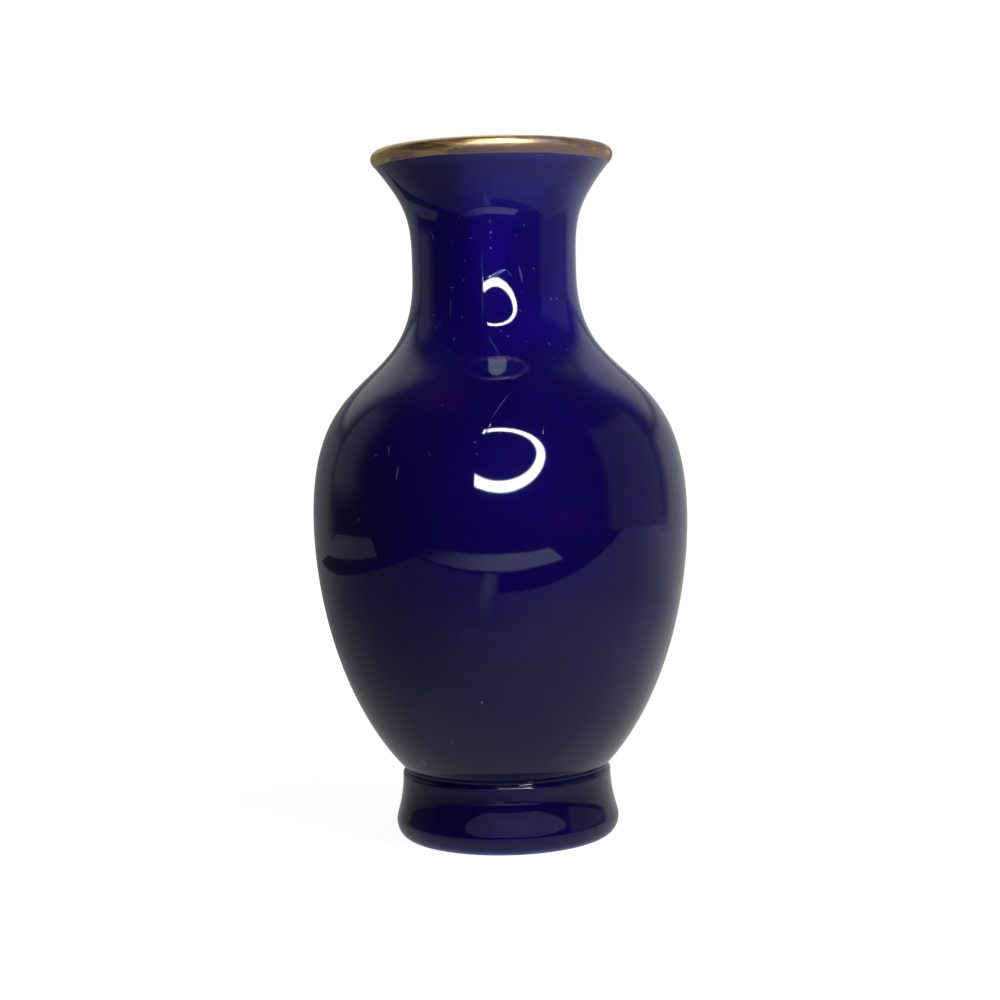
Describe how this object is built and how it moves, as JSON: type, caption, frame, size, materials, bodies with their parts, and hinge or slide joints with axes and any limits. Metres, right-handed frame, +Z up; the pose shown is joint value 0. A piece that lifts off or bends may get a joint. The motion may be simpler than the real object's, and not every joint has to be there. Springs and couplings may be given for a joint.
{
  "type": "bud vase",
  "caption": "Small hollow baluster bud vase in deep blue glazed porcelain: round shoulder, waisted neck, flared gilt lip and low turned foot.",
  "frame": {"origin": "centre of the underside, in the plane of the table that the foot ring stands on", "axes": "+Z up along the axis that the vase is turned about, out of its mouth; the picture looks along +Y"},
  "size_m": [0.071, 0.071, 0.13],
  "materials": {
    "cobalt_glaze": "deep cobalt blue glossy glaze, with a gilt lip, a clear glazed white inside and a bare foot ring"
  },
  "bodies": {
    "root": {"vase": "cobalt_glaze"}
  },
  "joints": []
}
